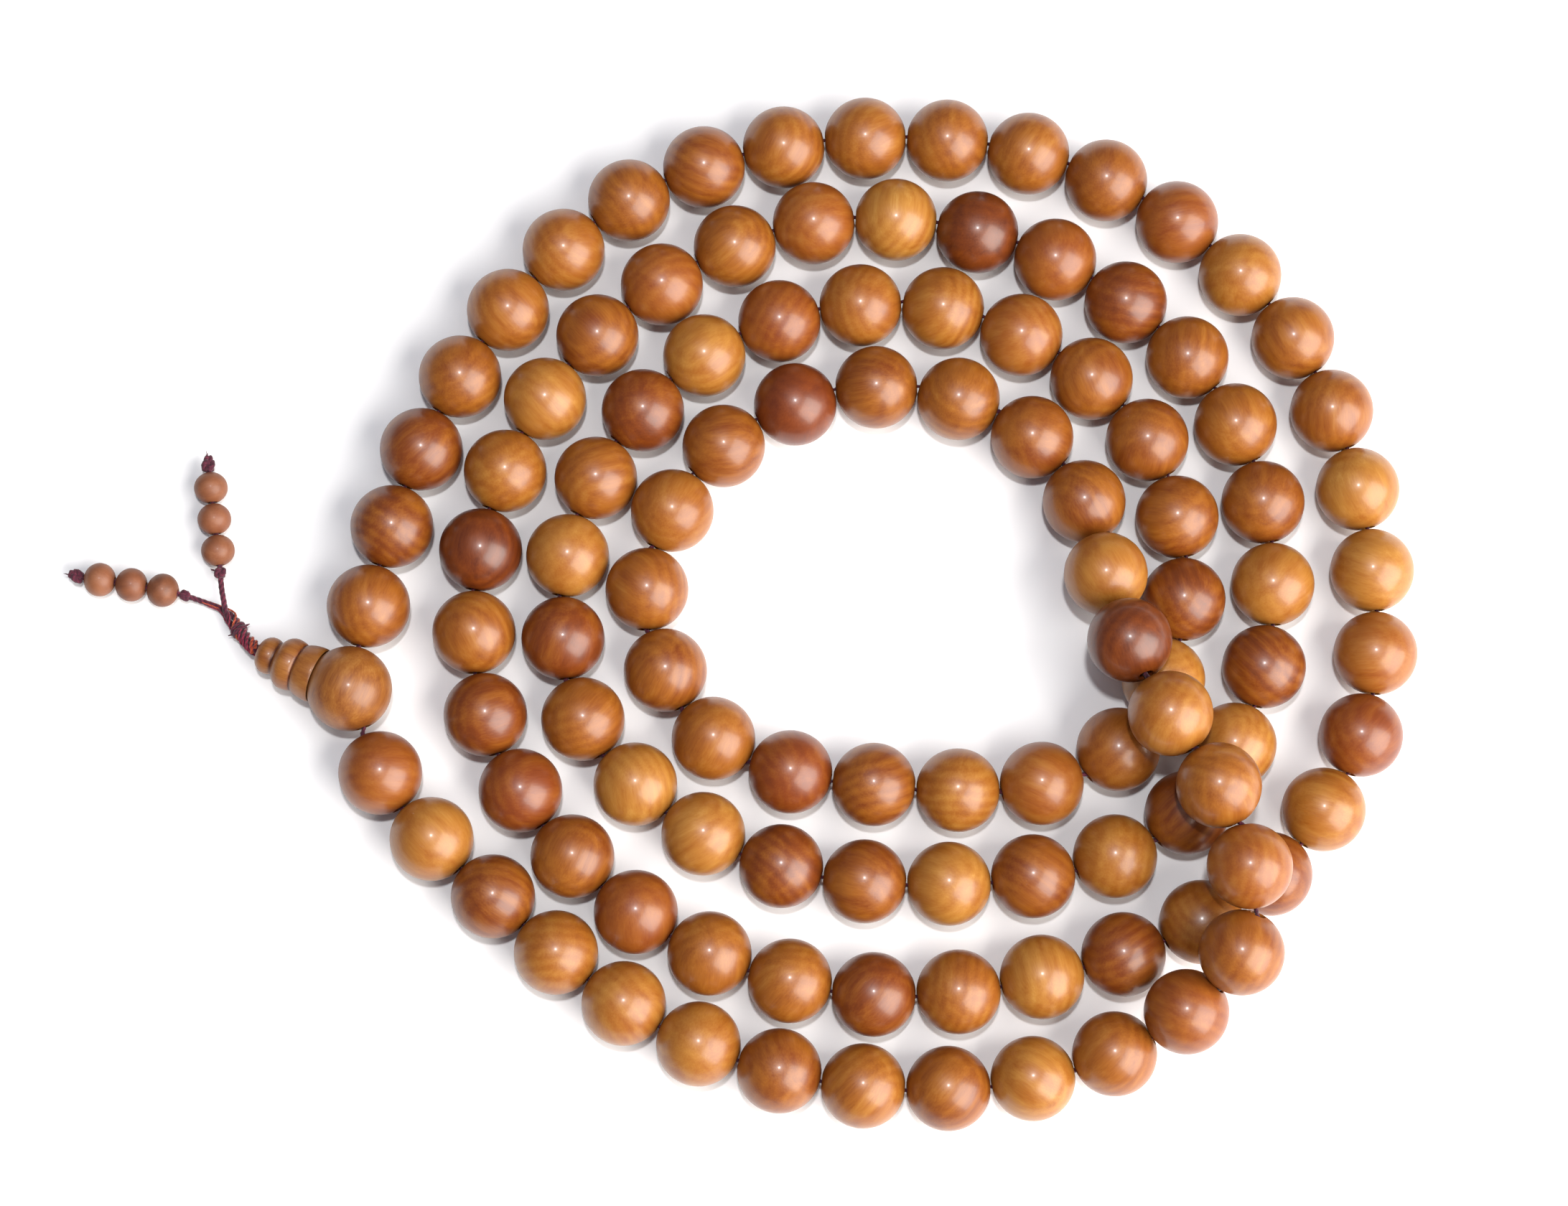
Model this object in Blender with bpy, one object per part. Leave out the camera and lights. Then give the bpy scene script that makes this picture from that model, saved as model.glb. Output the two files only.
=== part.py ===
"""Mala prayer beads laid down as a loose spiral: one strung strand of wooden beads, the
three-hole guru bead that closes it, the turned tower beyond the guru, and the tassel cord
that forks into two short strings of counter beads.

Lengths are in millimetres until a mesh or a curve is made, which is in metres. +Z is up and
the resting beads stand on Z = 0. The origin is the centre of the footprint of the strand,
the guru and its tower. Beads are counted from the guru, up its left side and inwards.
"""
import math

import bmesh
import bpy
from mathutils import Matrix, Vector

MM = 0.001

# Main beads: turned balls with a drilled bore, threaded on one loop
BEAD_COUNT = 108
BEAD_RADIUS = 6.0
BEAD_PITCH = 12.3
BEAD_BORE_RADIUS = 1.15
GROUPED_BEADS = 90
GROUP_SIZE = 3

# Each ball has a small flat underneath, which it rests on
BEAD_SIDES = 8
FLAT_HALF_ANGLE = 12.0
BEAD_LATITUDES = (16.0, 47.0, 78.0, 102.0, 133.0, 164.0)
BEAD_MOUTH = BEAD_RADIUS * math.cos(math.radians(BEAD_LATITUDES[0]))
REST_HEIGHT = (BEAD_RADIUS * math.sin(math.radians(BEAD_LATITUDES[2]))
               * math.cos(math.radians(FLAT_HALF_ANGLE)))
FLAT_HALF_LENGTH = BEAD_RADIUS * math.cos(math.radians(BEAD_LATITUDES[2]))

# Guru bead, the first and last thing on the loop, and the gap it keeps to bead 1
GURU_RADIUS = 6.25
GURU_SIDE_BORE_RADIUS = 1.2
GURU_TOWER_BORE_RADIUS = 1.5
GURU_TO_FIRST_BEAD = 12.55
GURU_LIFT = GURU_RADIUS - REST_HEIGHT
GURU_BANDS = 12
BORE_MARGIN = 1.0

# Tower: a stack of three turned tiers, pointing away from the loop
TOWER_HEADING = 157.0
TOWER_DROOP = 8.0
TOWER_BORE_RADIUS = 1.35
TOWER_LENGTH_FROM_GURU = 14.7
# Distance from the guru's centre, and radius
TOWER_PROFILE = ((5.95, 2.75), (5.3, 4.0), (5.9, 4.15), (7.2, 3.85), (8.2, 3.15), (8.9, 3.7), (10.1, 3.9),
                 (11.2, 3.4), (11.9, 2.5), (12.5, 2.65), (13.4, 2.75), (14.2, 2.4), (TOWER_LENGTH_FROM_GURU, 1.95))
TOWER_DISH_TOP = 6.35
TURNED_SIDES = 12

# Thread through every bead; its two ends run side by side through the tower
THREAD_RADIUS = 0.4
THREAD_END_OFFSET = 0.58
THREAD_CORNER = 0.8
THREAD_TURN = 2.2

# Tassel: a stem of twisted thread, then two cords, each with a knot, counters and an end knot
STEM_RADIUS = 1.0
STEM_END_RADIUS = 0.65
STEM_WRAP_RADIUS = 1.25
CORD_RADIUS = 0.45
KNOT_RADIUS = 0.95
KNOT_HALF_LENGTH = 0.8
CORD_STEP = 1.1
COUNTER_RADIUS = 2.5
COUNTER_HALF_LENGTH = 2.2
COUNTER_BORE_RADIUS = 0.85
COUNTER_PITCH = 4.75
COUNTER_COUNT = 3
COUNTER_PROFILE = ((-COUNTER_HALF_LENGTH, 1.2), (-1.54, 2.05), (-0.55, COUNTER_RADIUS),
                   (0.55, COUNTER_RADIUS), (1.54, 2.05), (COUNTER_HALF_LENGTH, 1.2))
KNOT_TO_COUNTER = KNOT_HALF_LENGTH + COUNTER_HALF_LENGTH + 0.35

# The laid-down route of the strand, chosen by hand, seen from above, from the guru back to the
# guru. The third number is the lift above the resting beads, where the strand crosses itself.
FOOTPRINT_CENTRE = Vector((-5.03, 0.5, 0.0))
STRAND_ROUTE = (
    (-76.0, -12.0, GURU_LIFT), (-73.5, 0.0, 0.0), (-60.5, 34.5, 0.0), (-35.5, 61.5, 0.0), (-0.5, 71.0, 0.0),
    (35.0, 65.0, 0.0), (63.0, 41.0, 0.0), (73.5, 12.0, 0.0), (72.0, -19.0, 0.0), (58.5, -39.0, 0.0),
    (25.0, -54.0, 0.0), (0.5, -56.5, 0.0), (-34.0, -44.5, 0.0), (-56.0, -16.0, 0.0), (-57.0, 9.0, 0.0),
    (-39.5, 41.5, 0.0), (-8.0, 58.0, 0.0), (28.0, 52.5, 0.0), (54.5, 27.5, 0.0), (58.0, -9.0, 0.0),
    (45.5, -31.0, 0.0), (11.5, -40.5, 0.0), (-24.5, -33.0, 0.0), (-42.0, -16.0, 0.0), (-44.0, 9.0, 0.0),
    (-24.0, 38.0, 0.0), (11.5, 45.0, 0.0), (41.5, 25.0, 0.0), (46.5, 1.5, 0.0), (37.0, -20.5, 0.0),
    (0.5, -26.0, 0.0), (-23.0, -19.0, 0.0), (-32.5, 3.0, 0.0), (-21.5, 24.0, 0.0), (0.0, 33.0, 0.0),
    (22.5, 27.0, 0.0), (31.0, 18.0, 0.0), (34.0, 7.5, 2.5), (36.5, -3.5, 9.0), (41.5, -14.5, 11.5),
    (48.5, -25.0, 12.0), (53.5, -36.5, 12.0), (53.5, -49.0, 11.0), (45.5, -59.0, 5.0), (35.5, -65.0, 1.0),
    (11.5, -70.0, 0.0), (-25.0, -63.5, 0.0), (-55.0, -42.0, 0.0), (-71.5, -24.0, 0.0), (-76.0, -12.0, GURU_LIFT))

# The tassel's routes on the same plan, with heights above the ground
STEM_ROUTE = ((-89.8, -6.2, 4.15), (-91.7, -4.4, 3.0), (-93.3, -2.4, 1.9), (-94.7, -0.3, 1.45))
LEFT_ROUTE = ((-96.1, 0.7, 0.9), (-98.7, 1.6, 1.4), (-101.3, 2.4, 2.2), (-108.9, 3.9, 2.5), (-118.5, 5.4, 2.5))
UP_ROUTE = ((-95.3, 1.5, 2.1), (-95.7, 3.6, 2.1), (-95.9, 5.8, 2.3), (-96.9, 13.6, 2.5), (-98.2, 23.6, 2.5))
LEFT_KNOT_AT = 5.4
UP_KNOT_AT = 4.3


def clear_scene():
    for item in list(bpy.data.objects):
        bpy.data.objects.remove(item, do_unlink=True)


def make_material(name, colour, roughness):
    material = bpy.data.materials.new(name)
    material.use_nodes = True
    shader = material.node_tree.nodes["Principled BSDF"]
    shader.inputs["Base Color"].default_value = (*colour, 1.0)
    shader.inputs["Roughness"].default_value = roughness
    shader.inputs["Metallic"].default_value = 0.0
    return material


def placed(point):
    """A point of the plan in the part's own frame."""
    return Vector(point) - FOOTPRINT_CENTRE


def smooth_curve(points, steps=12):
    """Points along a curve through every given point, with slopes that allow uneven spacing."""
    first = 2 * points[0] - points[1]
    last = 2 * points[-1] - points[-2]
    padded = [first, *points, last]
    curve = []
    for before, start, end, after in zip(padded, padded[1:], padded[2:], padded[3:]):
        gap_before = (start - before).length
        gap = (end - start).length
        gap_after = (after - end).length
        leave = gap * ((start - before) / gap_before - (end - before) / (gap_before + gap)) + (end - start)
        arrive = (end - start) + gap * ((after - end) / gap_after - (after - start) / (gap + gap_after))
        for step in range(steps):
            t = step / steps
            point = ((2 * t ** 3 - 3 * t ** 2 + 1) * start + (t ** 3 - 2 * t ** 2 + t) * leave
                     + (3 * t ** 2 - 2 * t ** 3) * end + (t ** 3 - t ** 2) * arrive)
            curve.append(point)
    curve.append(points[-1].copy())
    return curve


def step_along(curve, first_gap, pitch, count):
    """Bead centres along a curve, each one pitch from the last in a straight line."""
    centres = []
    last = curve[0]
    reach = first_gap
    index = 0
    while len(centres) < count:
        start = curve[index]
        end = curve[index + 1]
        if (end - last).length < reach:
            index += 1
            continue
        along = end - start
        offset = start - last
        a = along.length_squared
        b = offset.dot(along)
        c = offset.length_squared - reach ** 2
        fraction = (math.sqrt(max(b * b - a * c, 0.0)) - b) / a
        last = start + along * min(max(fraction, 0.0), 1.0)
        centres.append(last)
        reach = pitch
    return centres


def point_along(curve, distance):
    """The point and the direction at a distance along a curve."""
    for start, end in zip(curve, curve[1:]):
        length = (end - start).length
        if distance <= length:
            break
        distance -= length
    direction = (end - start) / length
    return start + direction * distance, direction


def axis_frame(centre, axis):
    """A frame whose +Z runs along the axis and whose +Y is as near to upright as it can be."""
    axis = axis.normalized()
    side = Vector((0.0, 0.0, 1.0)).cross(axis).normalized()
    upright = axis.cross(side)
    return Matrix.Translation(centre) @ Matrix((side, upright, axis)).transposed().to_4x4()


def bead_angles():
    """Corners of a bead's cross-section: one narrow flat straight down, the rest even."""
    step = (360.0 - 2 * FLAT_HALF_ANGLE) / (BEAD_SIDES - 1)
    return [math.radians(-90.0 + FLAT_HALF_ANGLE + step * side) for side in range(BEAD_SIDES)]


def ring(mesh, frame, distance, radius, angles):
    """Vertices of one ring of a turned shape, at a distance along its frame's axis."""
    corners = [Vector((radius * math.cos(angle), radius * math.sin(angle), distance)) for angle in angles]
    return [mesh.verts.new(frame @ corner) for corner in corners]


def join_rings(mesh, rings, closed):
    """Faces between each ring and the next, and back to the first ring for a bored shape."""
    pairs = list(zip(rings, rings[1:]))
    if closed:
        pairs.append((rings[-1], rings[0]))
    else:
        mesh.faces.new(rings[0])
        mesh.faces.new(rings[-1])
    for lower, upper in pairs:
        for side in range(len(lower)):
            after = (side + 1) % len(lower)
            mesh.faces.new((lower[side], lower[after], upper[after], upper[side]))
    bmesh.ops.recalc_face_normals(mesh, faces=mesh.faces)


def finish(name, mesh, material, place):
    """An object whose mesh was drawn in millimetres about its own origin."""
    bmesh.ops.scale(mesh, vec=(MM, MM, MM), verts=mesh.verts)
    data = bpy.data.meshes.new(name)
    mesh.to_mesh(data)
    mesh.free()
    data.materials.append(material)
    data.shade_smooth()
    data.set_sharp_from_angle(angle=math.radians(50))
    item = bpy.data.objects.new(name, data)
    bpy.context.collection.objects.link(item)
    item.matrix_world = Matrix.Translation(place.to_translation() * MM) @ place.to_3x3().to_4x4()
    return item


def add_turned(name, centre, axis, profile, material, bore=None):
    """A solid turned about its own +Z. A bore is given as the radius and its two ends."""
    mesh = bmesh.new()
    angles = [math.tau * (side + 0.5) / TURNED_SIDES for side in range(TURNED_SIDES)]
    origin = Matrix.Identity(4)
    rings = [ring(mesh, origin, distance, radius, angles) for distance, radius in profile]
    if bore:
        radius, near, far = bore
        rings.append(ring(mesh, origin, far, radius, angles))
        rings.append(ring(mesh, origin, near, radius, angles))
    join_rings(mesh, rings, closed=bool(bore))
    return finish(name, mesh, material, axis_frame(centre, axis))


def add_beads(name, centres, axes, material):
    """One bead, or a run of beads joined by short collars around the thread."""
    mesh = bmesh.new()
    angles = bead_angles()
    outside = []
    bore = []
    for centre, axis in zip(centres, axes):
        frame = axis_frame(centre - centres[0], axis)
        for latitude in BEAD_LATITUDES:
            turn = math.radians(latitude)
            distance = -BEAD_RADIUS * math.cos(turn)
            outside.append(ring(mesh, frame, distance, BEAD_RADIUS * math.sin(turn), angles))
        for distance in (-BEAD_MOUTH, BEAD_MOUTH):
            bore.append(ring(mesh, frame, distance, BEAD_BORE_RADIUS, angles))
    join_rings(mesh, outside + bore[::-1], closed=True)
    return finish(name, mesh, material, Matrix.Translation(centres[0]))


def add_cord(name, points, radii, material, bevel_resolution):
    """A round cord along a list of points, with its origin at the first."""
    data = bpy.data.curves.new(name, "CURVE")
    data.dimensions = "3D"
    data.bevel_depth = MM
    data.bevel_resolution = bevel_resolution
    data.use_fill_caps = True
    spline = data.splines.new("POLY")
    spline.points.add(len(points) - 1)
    for target, point, radius in zip(spline.points, points, radii):
        target.co = (*((point - points[0]) * MM), 1.0)
        target.radius = radius
    data.materials.append(material)
    item = bpy.data.objects.new(name, data)
    item.location = points[0] * MM
    bpy.context.collection.objects.link(item)
    return item


def cut_bore(target, centre, direction, radius, length):
    """Drill a round hole into a solid, from its centre outwards."""
    bpy.ops.mesh.primitive_cylinder_add(vertices=TURNED_SIDES, radius=radius * MM, depth=length * MM)
    cutter = bpy.context.active_object
    cutter.name = target.name + "_bore_cutter"
    cutter.matrix_world = (Matrix.Translation((centre + direction * length / 2) * MM)
                           @ direction.to_track_quat("Z", "Y").to_matrix().to_4x4())
    cutter.hide_render = True
    cutter.display_type = "WIRE"
    drill = target.modifiers.new("drill", "BOOLEAN")
    drill.operation = "DIFFERENCE"
    drill.object = cutter


def tower_axis():
    heading = math.radians(TOWER_HEADING)
    droop = math.radians(TOWER_DROOP)
    return Vector((math.cos(heading) * math.cos(droop), math.sin(heading) * math.cos(droop), -math.sin(droop)))


def build_strand(centres, axes, wood):
    """The main beads: the first turns as short runs, the last part bead by bead."""
    for first in range(0, GROUPED_BEADS, GROUP_SIZE):
        run = slice(first, first + GROUP_SIZE)
        name = f"beads_{first + 1:03d}_{first + GROUP_SIZE:03d}"
        add_beads(name, centres[run], axes[run], wood)
    for index in range(GROUPED_BEADS, BEAD_COUNT):
        add_beads(f"bead_{index + 1:03d}", [centres[index]], [axes[index]], wood)


def build_thread(guru, centres, axes, thread):
    """The thread bends only between beads, and both its ends leave through the tower."""
    tower = tower_axis()
    sideways = Vector((0.0, 0.0, 1.0)).cross(tower).normalized()
    if sideways.dot(centres[0] - guru) < 0:
        sideways.negate()
    tip = guru + tower * TOWER_LENGTH_FROM_GURU
    corner = guru + tower * THREAD_CORNER
    offset = sideways * THREAD_END_OFFSET
    to_first = (centres[0] - guru).normalized()
    to_last = (centres[-1] - guru).normalized()
    points = [tip + offset, corner + offset, guru + to_first * THREAD_TURN, guru + to_first * GURU_RADIUS]
    for centre, axis in zip(centres, axes):
        points.append(centre - axis * BEAD_MOUTH)
        points.append(centre + axis * BEAD_MOUTH)
    points += [guru + to_last * GURU_RADIUS, guru + to_last * THREAD_TURN, corner - offset, tip - offset]
    add_cord("main_thread", points, [THREAD_RADIUS] * len(points), thread, bevel_resolution=1)


def build_guru(guru, centres, wood):
    """A ball with three holes that meet inside it: one for each end of the loop, one for the tower."""
    latitudes = [math.pi * band / GURU_BANDS for band in range(1, GURU_BANDS)]
    profile = [(-GURU_RADIUS * math.cos(turn), GURU_RADIUS * math.sin(turn)) for turn in latitudes]
    ball = add_turned("guru_bead", guru, tower_axis(), profile, wood)
    for direction in ((centres[0] - guru).normalized(), (centres[-1] - guru).normalized()):
        cut_bore(ball, guru, direction, GURU_SIDE_BORE_RADIUS, GURU_RADIUS + BORE_MARGIN)
    start = guru - tower_axis() * BORE_MARGIN
    cut_bore(ball, start, tower_axis(), GURU_TOWER_BORE_RADIUS, GURU_RADIUS + 2 * BORE_MARGIN)


def build_tower(guru, wood):
    """Three tiers with a dished foot that follows the guru's curve."""
    bore = (TOWER_BORE_RADIUS, TOWER_DISH_TOP, TOWER_LENGTH_FROM_GURU)
    add_turned("guru_tower", guru, tower_axis(), TOWER_PROFILE, wood, bore)


def build_stem(thread):
    """The bundle of thread between the tower and the fork, with a wrapped knot half way."""
    curve = smooth_curve([placed(point) for point in STEM_ROUTE], steps=4)
    radii = [STEM_RADIUS] * len(curve)
    radii[0] = STEM_END_RADIUS
    radii[-1] = STEM_END_RADIUS
    radii[len(curve) // 2] = STEM_WRAP_RADIUS
    add_cord("stem_cord", curve, radii, thread, bevel_resolution=2)


def build_pendant(side, route, knot_at, wood, thread):
    """One string of the tassel: cord, knot, three counters, end knot."""
    curve = smooth_curve([placed(point) for point in route])
    stops = [knot_at + KNOT_TO_COUNTER + COUNTER_PITCH * count for count in range(COUNTER_COUNT)]
    end_knot_at = stops[-1] + KNOT_TO_COUNTER
    knots = (knot_at, end_knot_at)
    total = end_knot_at + KNOT_HALF_LENGTH
    steps = round(total / CORD_STEP)
    distances = sorted([total * step / steps for step in range(steps + 1)] + list(knots))
    points = [point_along(curve, distance)[0] for distance in distances]
    radii = [KNOT_RADIUS if distance in knots else CORD_RADIUS for distance in distances]
    add_cord(f"pendant_cord_{side}", points, radii, thread, bevel_resolution=2)
    bore = (COUNTER_BORE_RADIUS, -COUNTER_HALF_LENGTH, COUNTER_HALF_LENGTH)
    for count, stop in enumerate(stops):
        centre, direction = point_along(curve, stop)
        add_turned(f"counter_{side}_{count + 1}", centre, direction, COUNTER_PROFILE, wood, bore)


def main():
    clear_scene()
    bead_wood = make_material("bead_wood", (0.42, 0.17, 0.055), 0.34)
    guru_wood = make_material("guru_wood", (0.46, 0.19, 0.06), 0.36)
    counter_wood = make_material("counter_wood", (0.36, 0.15, 0.075), 0.5)
    thread = make_material("thread", (0.10, 0.015, 0.035), 0.85)

    lift = Vector((0.0, 0.0, REST_HEIGHT))
    route = [placed(point) + lift for point in STRAND_ROUTE]
    guru = route[0]
    curve = smooth_curve(route)
    for point in curve:
        point.z = max(point.z, REST_HEIGHT)
    centres = step_along(curve, GURU_TO_FIRST_BEAD, BEAD_PITCH, BEAD_COUNT)
    neighbours = [guru, *centres, guru]
    axes = [(after - before).normalized() for before, after in zip(neighbours, neighbours[2:])]
    for centre, axis in zip(centres, axes):
        # A bead whose thread slopes stands on the edge of its flat
        centre.z = max(centre.z, REST_HEIGHT + FLAT_HALF_LENGTH * abs(axis.z))

    build_strand(centres, axes, bead_wood)
    build_thread(guru, centres, axes, thread)
    build_guru(guru, centres, guru_wood)
    build_tower(guru, guru_wood)
    build_stem(thread)
    build_pendant("left", LEFT_ROUTE, LEFT_KNOT_AT, counter_wood, thread)
    build_pendant("up", UP_ROUTE, UP_KNOT_AT, counter_wood, thread)


main()
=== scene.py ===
import math
import random

import bmesh
import bpy
from mathutils import Matrix, Quaternion, Vector


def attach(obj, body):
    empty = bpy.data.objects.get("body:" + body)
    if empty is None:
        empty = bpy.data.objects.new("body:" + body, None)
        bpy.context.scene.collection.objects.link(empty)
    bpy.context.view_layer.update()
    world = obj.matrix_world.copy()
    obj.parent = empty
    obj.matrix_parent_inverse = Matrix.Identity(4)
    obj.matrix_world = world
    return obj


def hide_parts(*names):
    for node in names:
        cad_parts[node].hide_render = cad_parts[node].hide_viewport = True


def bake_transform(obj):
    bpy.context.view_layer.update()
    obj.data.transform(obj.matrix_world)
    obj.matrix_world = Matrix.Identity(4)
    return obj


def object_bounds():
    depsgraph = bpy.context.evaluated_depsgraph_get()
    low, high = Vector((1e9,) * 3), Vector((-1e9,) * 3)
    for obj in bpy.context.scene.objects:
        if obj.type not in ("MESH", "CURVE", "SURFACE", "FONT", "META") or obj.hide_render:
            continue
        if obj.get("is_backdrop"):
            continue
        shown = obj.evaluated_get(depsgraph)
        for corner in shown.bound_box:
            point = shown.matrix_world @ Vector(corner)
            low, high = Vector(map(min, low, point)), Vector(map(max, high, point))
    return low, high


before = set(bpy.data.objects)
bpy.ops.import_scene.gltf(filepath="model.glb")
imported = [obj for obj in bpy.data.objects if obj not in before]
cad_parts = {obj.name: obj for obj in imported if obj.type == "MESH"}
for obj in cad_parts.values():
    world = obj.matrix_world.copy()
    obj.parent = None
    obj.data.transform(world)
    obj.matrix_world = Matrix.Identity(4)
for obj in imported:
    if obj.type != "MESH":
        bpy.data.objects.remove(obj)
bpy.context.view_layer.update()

# ---------------------------------------------------------------------------------------------
# The viewpoint: the strand lies on a table and is seen from almost straight above, with the
# tassel to the left. Distances are in metres throughout, and MM turns millimetres into them.
MM = 0.001
LOOK_AT = Vector((-0.0073, 0.0002, 0.006))
VIEW_ELEVATION = math.radians(82.0)
VIEW_DISTANCE = 0.52
VIEW_WIDTH = 0.2305
SENSOR_WIDTH = 36.0

back = Vector((0.0, -math.cos(VIEW_ELEVATION), math.sin(VIEW_ELEVATION)))
lens = bpy.data.cameras.new("table_camera")
lens.sensor_width = SENSOR_WIDTH
lens.lens = SENSOR_WIDTH * VIEW_DISTANCE / VIEW_WIDTH
lens.clip_start = 0.01
camera = bpy.data.objects.new("table_camera", lens)
camera.location = LOOK_AT + back * VIEW_DISTANCE
camera.rotation_euler = (-back).to_track_quat("-Z", "Y").to_euler()
bpy.context.collection.objects.link(camera)
bpy.context.scene.camera = camera

# ---------------------------------------------------------------------------------------------
# Tassel cords: two limp maroon cords of twisted yarn come out of the tower's tip, turn round
# each other as the stem, and part at the fork. Each then carries three counters, held between
# an inner knot and an end knot. They follow the laid-down routes of the tassel.
FOOTPRINT_CENTRE = Vector((-5.03, 0.5, 0.0))
TOWER_HEADING = 157.0
TOWER_DROOP = 8.0
TOWER_LENGTH_FROM_GURU = 14.7
STEM_ROUTE = ((-89.8, -6.2, 4.15), (-91.7, -4.4, 3.0), (-93.3, -2.4, 1.9), (-94.7, -0.3, 1.45))
LEFT_ROUTE = ((-96.1, 0.7, 0.9), (-98.7, 1.6, 1.4), (-101.3, 2.4, 2.2), (-108.9, 3.9, 2.5),
              (-118.5, 5.4, 2.5))
UP_ROUTE = ((-95.3, 1.5, 2.1), (-95.7, 3.6, 2.1), (-95.9, 5.8, 2.3), (-96.9, 13.6, 2.5),
            (-98.2, 23.6, 2.5))
CORD_RADIUS = 0.45
CORD_LAY = 2.6
STEM_OFFSET = 0.5
STEM_LAY = 5.2
KNOT_TO_COUNTER = 3.35
COUNTER_PITCH = 4.75
COUNTER_COUNT = 3
KNOT_HALF_LENGTH = 0.8
KNOT_AT = {"left": 5.4, "up": 4.3}


def placed(point):
    """A point of the laid-down plan in the part's own frame, still in millimetres."""
    return Vector(point) - FOOTPRINT_CENTRE


def smooth_curve(points, steps=12):
    """Points along a curve through every given point, with slopes that allow uneven spacing."""
    first = 2 * points[0] - points[1]
    last = 2 * points[-1] - points[-2]
    padded = [first, *points, last]
    curve = []
    for before, start, end, after in zip(padded, padded[1:], padded[2:], padded[3:]):
        gap_before = (start - before).length
        gap = (end - start).length
        gap_after = (after - end).length
        leave = gap * ((start - before) / gap_before - (end - before) / (gap_before + gap)) + (end - start)
        arrive = (end - start) + gap * ((after - end) / gap_after - (after - start) / (gap + gap_after))
        for step in range(steps):
            t = step / steps
            point = ((2 * t ** 3 - 3 * t ** 2 + 1) * start + (t ** 3 - 2 * t ** 2 + t) * leave
                     + (3 * t ** 2 - 2 * t ** 3) * end + (t ** 3 - t ** 2) * arrive)
            curve.append(point)
    curve.append(points[-1].copy())
    return curve


def point_along(curve, distance):
    """The point and the direction at a distance along a curve."""
    for start, end in zip(curve, curve[1:]):
        length = (end - start).length
        if distance <= length:
            break
        distance -= length
    direction = (end - start) / length
    return start + direction * distance, direction


def curve_length(curve):
    return sum((end - start).length for start, end in zip(curve, curve[1:]))


def evenly(curve, spacing):
    """The same curve with a point at every spacing along it."""
    steps = max(2, round(curve_length(curve) / spacing))
    return [point_along(curve, curve_length(curve) * step / steps)[0] for step in range(steps + 1)]


def spin_yarn(name, points, radius, plies, lay, sides=12, thin_end=1.0):
    """Yarn along a line of points: a section of several round plies that turns as it runs on."""
    count = len(points)
    corners = []
    faces = []
    ply_height = []
    run = []
    normal = None
    travelled = 0.0
    for index, point in enumerate(points):
        tangent = (points[min(index + 1, count - 1)] - points[max(index - 1, 0)]).normalized()
        if normal is None:
            normal = tangent.orthogonal()
        normal = (normal - tangent * normal.dot(tangent)).normalized()
        across = tangent.cross(normal)
        if index:
            travelled += (point - points[index - 1]).length
        turn = math.tau * travelled / lay
        narrowing = 1.0 - (1.0 - thin_end) * index / (count - 1)
        for side in range(sides):
            angle = math.tau * side / sides
            height = abs(math.cos(plies * angle / 2.0))
            reach = radius * narrowing * (0.8 + 0.2 * height)
            spoke = normal * math.cos(angle + turn) + across * math.sin(angle + turn)
            corners.append((point + spoke * reach) * MM)
            ply_height.append(height)
            run.append(travelled)
    for index in range(count - 1):
        for side in range(sides):
            here = index * sides + side
            beside = index * sides + (side + 1) % sides
            faces.append((here, beside, beside + sides, here + sides))
    faces.append(tuple(range(sides))[::-1])
    faces.append(tuple(range((count - 1) * sides, count * sides)))
    mesh = bpy.data.meshes.new(name)
    mesh.from_pydata(corners, [], faces)
    # The ply height is kept to paint shade between the plies and a highlight on their crowns.
    mesh.attributes.new("ply", "FLOAT", "POINT").data.foreach_set("value", ply_height)
    mesh.attributes.new("run", "FLOAT", "POINT").data.foreach_set("value", run)
    mesh.shade_smooth()
    piece = bpy.data.objects.new(name, mesh)
    bpy.context.collection.objects.link(piece)
    return piece


class Shade:
    """A socket of a material, on which ordinary arithmetic adds Math nodes."""

    def __init__(self, tree, socket=None):
        self.tree = tree
        self.socket = socket

    def node(self, kind, settings, inputs, output=0):
        """Any node: its settings first, then the values or links of its sockets."""
        made = self.tree.nodes.new(kind)
        for key, value in settings.items():
            if key == "stops":
                ramp = made.color_ramp.elements
                while len(ramp) < len(value):
                    ramp.new(0.5)
                for element, (position, colour) in zip(ramp, value):
                    element.position = position
                    element.color = (*colour, 1.0)
            else:
                setattr(made, key, value)
        for key, value in inputs.items():
            if isinstance(value, Shade):
                self.tree.links.new(value.socket, made.inputs[key])
            else:
                made.inputs[key].default_value = value
        return Shade(self.tree, made.outputs[output])

    def maths(self, operation, left, right):
        return self.node("ShaderNodeMath", {"operation": operation}, {0: left, 1: right})

    def __add__(self, other):
        return self.maths("ADD", self, other)

    def __radd__(self, other):
        return self.maths("ADD", other, self)

    def __sub__(self, other):
        return self.maths("SUBTRACT", self, other)

    def __mul__(self, other):
        return self.maths("MULTIPLY", self, other)

    def __gt__(self, other):
        return self.maths("GREATER_THAN", self, other)

    def blend(self, other, factor):
        """This colour turning into another one."""
        return self.node("ShaderNodeMix", {"data_type": "RGBA"}, {0: factor, 6: self, 7: other}, 2)


def new_finish(name, roughness):
    """An empty material: what its nodes hang on, and its shader."""
    material = bpy.data.materials.new(name)
    material.use_nodes = True
    shader = material.node_tree.nodes["Principled BSDF"]
    shader.inputs["Roughness"].default_value = roughness
    return material, Shade(material.node_tree), shader


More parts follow.
